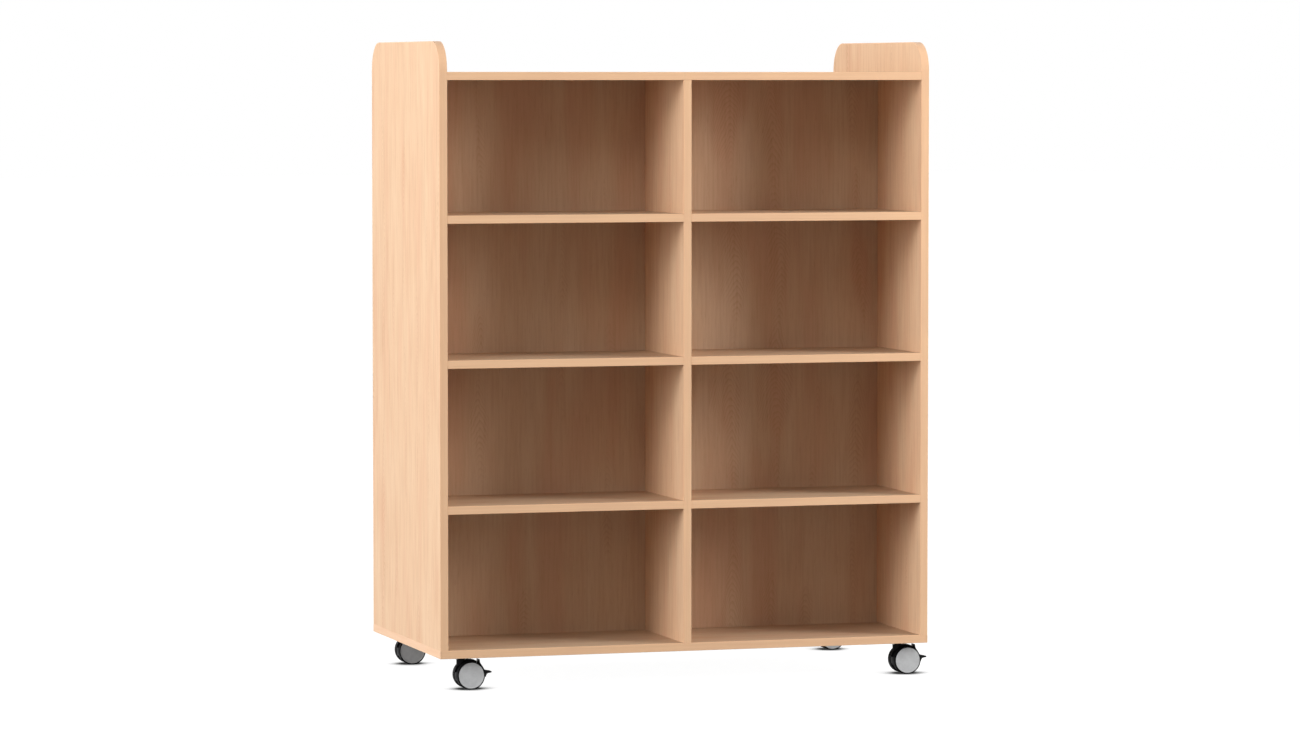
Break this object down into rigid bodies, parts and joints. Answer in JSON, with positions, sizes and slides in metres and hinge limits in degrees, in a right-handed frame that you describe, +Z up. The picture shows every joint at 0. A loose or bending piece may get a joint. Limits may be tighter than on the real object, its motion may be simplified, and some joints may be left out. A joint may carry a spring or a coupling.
{
  "type": "mobile bookcase",
  "caption": "Mobile double-sided bookcase in light beech board, with open compartments, raised round-cornered ends and swivel castors with brake pedals.",
  "frame": {"origin": "on the floor, under the middle of the carcass", "axes": "+X to the right seen from the front face, +Y from the front face to the rear face, +Z up"},
  "size_m": [1.211, 0.634, 1.505],
  "materials": {
    "beech_laminate": "satin melamine with fine beech grain",
    "beech_edging": "satin edging strip with lengthwise grain",
    "beech_dowel": "plain turned beech",
    "zinc_screw": "zinc plated",
    "zinc_plate": "pressed zinc-plated steel",
    "steel_axle": "ground steel",
    "black_housing": "moulded nylon, fine grain",
    "black_wheel": "moulded nylon with a satin tread",
    "black_lever": "moulded nylon, slightly glossy on the pedal",
    "grey_cap": "moulded light grey cap, satin"
  },
  "bodies": {
    "carcass": {"bottom_board": "beech_laminate", "left_side_panel": "beech_laminate", "right_side_panel": "beech_laminate", "top_board": "beech_laminate", "centre_partition": "beech_laminate", "front_divider": "beech_laminate", "rear_divider": "beech_laminate", "front_left_low_shelf": "beech_laminate", "front_left_middle_shelf": "beech_laminate", "front_left_high_shelf": "beech_laminate", "front_right_low_shelf": "beech_laminate", "front_right_middle_shelf": "beech_laminate", "front_right_high_shelf": "beech_laminate", "rear_left_low_shelf": "beech_laminate", "rear_left_middle_shelf": "beech_laminate", "rear_left_high_shelf": "beech_laminate", "rear_right_low_shelf": "beech_laminate", "rear_right_middle_shelf": "beech_laminate", "rear_right_high_shelf": "beech_laminate", "side_edging": "beech_edging", "board_edging": "beech_edging", "shelf_edging": "beech_edging", "dowels": "beech_dowel", "board_screws": "zinc_screw", "castor_screws": "zinc_screw", "front_left_castor_plate": "zinc_plate", "front_right_castor_plate": "zinc_plate", "rear_left_castor_plate": "zinc_plate", "rear_right_castor_plate": "zinc_plate", "front_left_kingpin": "zinc_plate", "front_right_kingpin": "zinc_plate", "rear_left_kingpin": "zinc_plate", "rear_right_kingpin": "zinc_plate"},
    "front_left_swivel": {"front_left_housing": "black_housing", "front_left_axle": "steel_axle"},
    "front_left_outer_wheel_body": {"front_left_outer_wheel": "black_wheel", "front_left_outer_cap": "grey_cap"},
    "front_left_inner_wheel_body": {"front_left_inner_wheel": "black_wheel", "front_left_inner_cap": "grey_cap"},
    "front_left_brake": {"front_left_brake_lever": "black_lever"},
    "front_right_swivel": {"front_right_housing": "black_housing", "front_right_axle": "steel_axle"},
    "front_right_outer_wheel_body": {"front_right_outer_wheel": "black_wheel", "front_right_outer_cap": "grey_cap"},
    "front_right_inner_wheel_body": {"front_right_inner_wheel": "black_wheel", "front_right_inner_cap": "grey_cap"},
    "front_right_brake": {"front_right_brake_lever": "black_lever"},
    "rear_left_swivel": {"rear_left_housing": "black_housing", "rear_left_axle": "steel_axle"},
    "rear_left_outer_wheel_body": {"rear_left_outer_wheel": "black_wheel", "rear_left_outer_cap": "grey_cap"},
    "rear_left_inner_wheel_body": {"rear_left_inner_wheel": "black_wheel", "rear_left_inner_cap": "grey_cap"},
    "rear_right_swivel": {"rear_right_housing": "black_housing", "rear_right_axle": "steel_axle"},
    "rear_right_outer_wheel_body": {"rear_right_outer_wheel": "black_wheel", "rear_right_outer_cap": "grey_cap"},
    "rear_right_inner_wheel_body": {"rear_right_inner_wheel": "black_wheel", "rear_right_inner_cap": "grey_cap"}
  },
  "joints": [
    {"name": "front_left_castor_swivel", "type": "hinge", "parent": "carcass", "child": "front_left_swivel", "pos_m": [-0.539, -0.271, 0.07], "axis": [0, 0, 1], "continuous": true},
    {"name": "front_left_outer_wheel_turn", "type": "hinge", "parent": "front_left_swivel", "child": "front_left_outer_wheel_body", "pos_m": [-0.52, -0.287, 0.033], "axis": [0, 1, 0], "continuous": true},
    {"name": "front_left_inner_wheel_turn", "type": "hinge", "parent": "front_left_swivel", "child": "front_left_inner_wheel_body", "pos_m": [-0.52, -0.255, 0.033], "axis": [0, 1, 0], "continuous": true},
    {"name": "front_left_brake_press", "type": "hinge", "parent": "front_left_swivel", "child": "front_left_brake", "pos_m": [-0.496, -0.271, 0.044], "axis": [0, 1, 0], "range_deg": [0, 12]},
    {"name": "front_right_castor_swivel", "type": "hinge", "parent": "carcass", "child": "front_right_swivel", "pos_m": [0.539, -0.271, 0.07], "axis": [0, 0, 1], "continuous": true},
    {"name": "front_right_outer_wheel_turn", "type": "hinge", "parent": "front_right_swivel", "child": "front_right_outer_wheel_body", "pos_m": [0.558, -0.287, 0.033], "axis": [0, 1, 0], "continuous": true},
    {"name": "front_right_inner_wheel_turn", "type": "hinge", "parent": "front_right_swivel", "child": "front_right_inner_wheel_body", "pos_m": [0.558, -0.255, 0.033], "axis": [0, 1, 0], "continuous": true},
    {"name": "front_right_brake_press", "type": "hinge", "parent": "front_right_swivel", "child": "front_right_brake", "pos_m": [0.582, -0.271, 0.044], "axis": [0, 1, 0], "range_deg": [0, 12]},
    {"name": "rear_left_castor_swivel", "type": "hinge", "parent": "carcass", "child": "rear_left_swivel", "pos_m": [-0.539, 0.271, 0.07], "axis": [0, 0, 1], "continuous": true},
    {"name": "rear_left_outer_wheel_turn", "type": "hinge", "parent": "rear_left_swivel", "child": "rear_left_outer_wheel_body", "pos_m": [-0.52, 0.287, 0.033], "axis": [0, 1, 0], "continuous": true},
    {"name": "rear_left_inner_wheel_turn", "type": "hinge", "parent": "rear_left_swivel", "child": "rear_left_inner_wheel_body", "pos_m": [-0.52, 0.255, 0.033], "axis": [0, 1, 0], "continuous": true},
    {"name": "rear_right_castor_swivel", "type": "hinge", "parent": "carcass", "child": "rear_right_swivel", "pos_m": [0.539, 0.271, 0.07], "axis": [0, 0, 1], "continuous": true},
    {"name": "rear_right_outer_wheel_turn", "type": "hinge", "parent": "rear_right_swivel", "child": "rear_right_outer_wheel_body", "pos_m": [0.558, 0.287, 0.033], "axis": [0, 1, 0], "continuous": true},
    {"name": "rear_right_inner_wheel_turn", "type": "hinge", "parent": "rear_right_swivel", "child": "rear_right_inner_wheel_body", "pos_m": [0.558, 0.255, 0.033], "axis": [0, 1, 0], "continuous": true}
  ]
}
